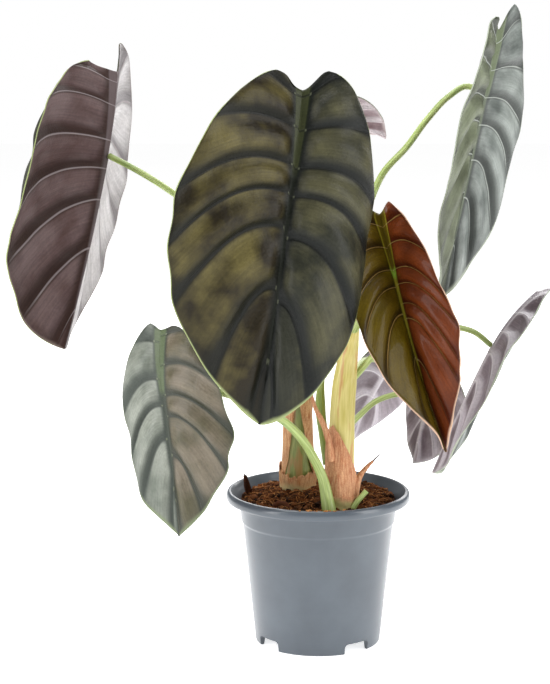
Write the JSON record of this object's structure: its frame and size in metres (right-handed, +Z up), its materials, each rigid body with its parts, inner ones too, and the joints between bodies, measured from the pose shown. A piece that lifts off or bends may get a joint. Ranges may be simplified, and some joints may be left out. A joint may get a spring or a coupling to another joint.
{
  "type": "potted alocasia plant",
  "caption": "Potted alocasia: quilted heart-shaped leaves on long arching petioles above sheathed stems, in a tapered plastic nursery pot of soil",
  "frame": {"origin": "centre of the pot's base, on the surface it stands on", "axes": "+Z up along the pot's axis, -Y towards the front of the plant, +X to the viewer's right"},
  "size_m": [0.3427, 0.2329, 0.4133],
  "materials": {
    "pot_plastic": "satin moulded blue-grey",
    "soil": "damp peat and coir, rough",
    "bark": "split dark bark, rough",
    "green_stem": "smooth waxy green",
    "pale_stem": "smooth waxy yellow-green",
    "papery_sheath": "dry papery pink-brown",
    "petiole": "smooth waxy light green",
    "olive_leaf": "glossy quilted dark olive and bronze",
    "maroon_leaf": "satin maroon underside with a grey sheen",
    "grey_green_leaf": "glossy grey-green, bronze towards the edge",
    "silver_leaf": "silvery green with dark grooves",
    "copper_leaf": "glossy copper, olive along one side",
    "mauve_leaf": "silvery mauve underside with dark blotches"
  },
  "bodies": {
    "root": {"pot": "pot_plastic", "potting_soil": "soil", "bark_chip_rim": "bark", "bark_chip_front": "bark", "left_stem": "green_stem", "left_outer_sheath": "papery_sheath", "left_base_collar": "papery_sheath", "right_stem": "pale_stem", "right_pointed_sheath": "papery_sheath", "right_base_collar": "papery_sheath", "dry_sheath_spike": "papery_sheath", "cut_petiole_stub": "petiole", "young_leaf_sheath": "green_stem", "front_petiole": "petiole", "front_blade": "olive_leaf", "upper_left_petiole": "petiole", "upper_left_blade": "maroon_leaf", "lower_left_petiole": "petiole", "lower_left_blade": "grey_green_leaf", "upper_right_petiole": "petiole", "upper_right_blade": "silver_leaf", "copper_petiole": "petiole", "copper_blade": "copper_leaf", "right_petiole": "petiole", "right_blade": "mauve_leaf", "small_petiole": "petiole", "small_blade": "mauve_leaf", "back_low_petiole": "petiole", "back_low_blade": "mauve_leaf", "back_high_petiole": "petiole", "back_high_blade": "silver_leaf"}
  },
  "joints": []
}
